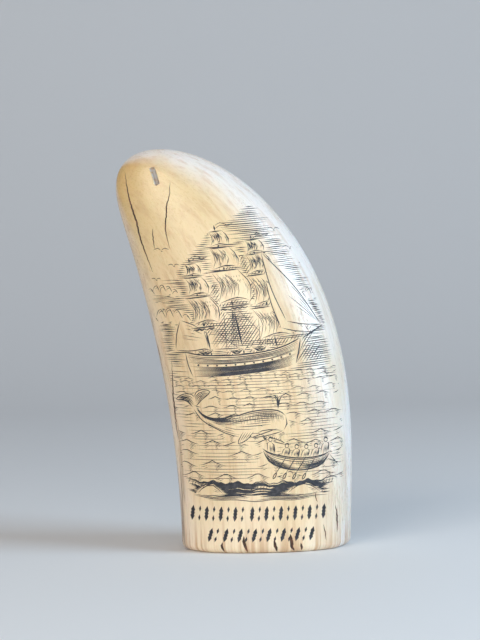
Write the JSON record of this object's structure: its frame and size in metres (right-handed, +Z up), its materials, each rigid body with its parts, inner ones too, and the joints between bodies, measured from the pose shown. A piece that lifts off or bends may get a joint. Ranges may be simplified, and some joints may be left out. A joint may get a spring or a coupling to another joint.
{
  "type": "scrimshaw whale tooth",
  "caption": "Leaning sperm whale tooth, sawn flat to stand, with an engraved and inked picture on its broad front face.",
  "frame": {"origin": "on the surface the tooth stands on, under the middle of its overall box", "axes": "+Z up, the engraved face looks along -Y, and the tip leans towards -X"},
  "size_m": [0.0748, 0.0404, 0.1302],
  "materials": {
    "ivory": "polished whale ivory, aged cream to amber, with black pigment rubbed into the engraved lines"
  },
  "bodies": {
    "root": {"tooth": "ivory"}
  },
  "joints": []
}
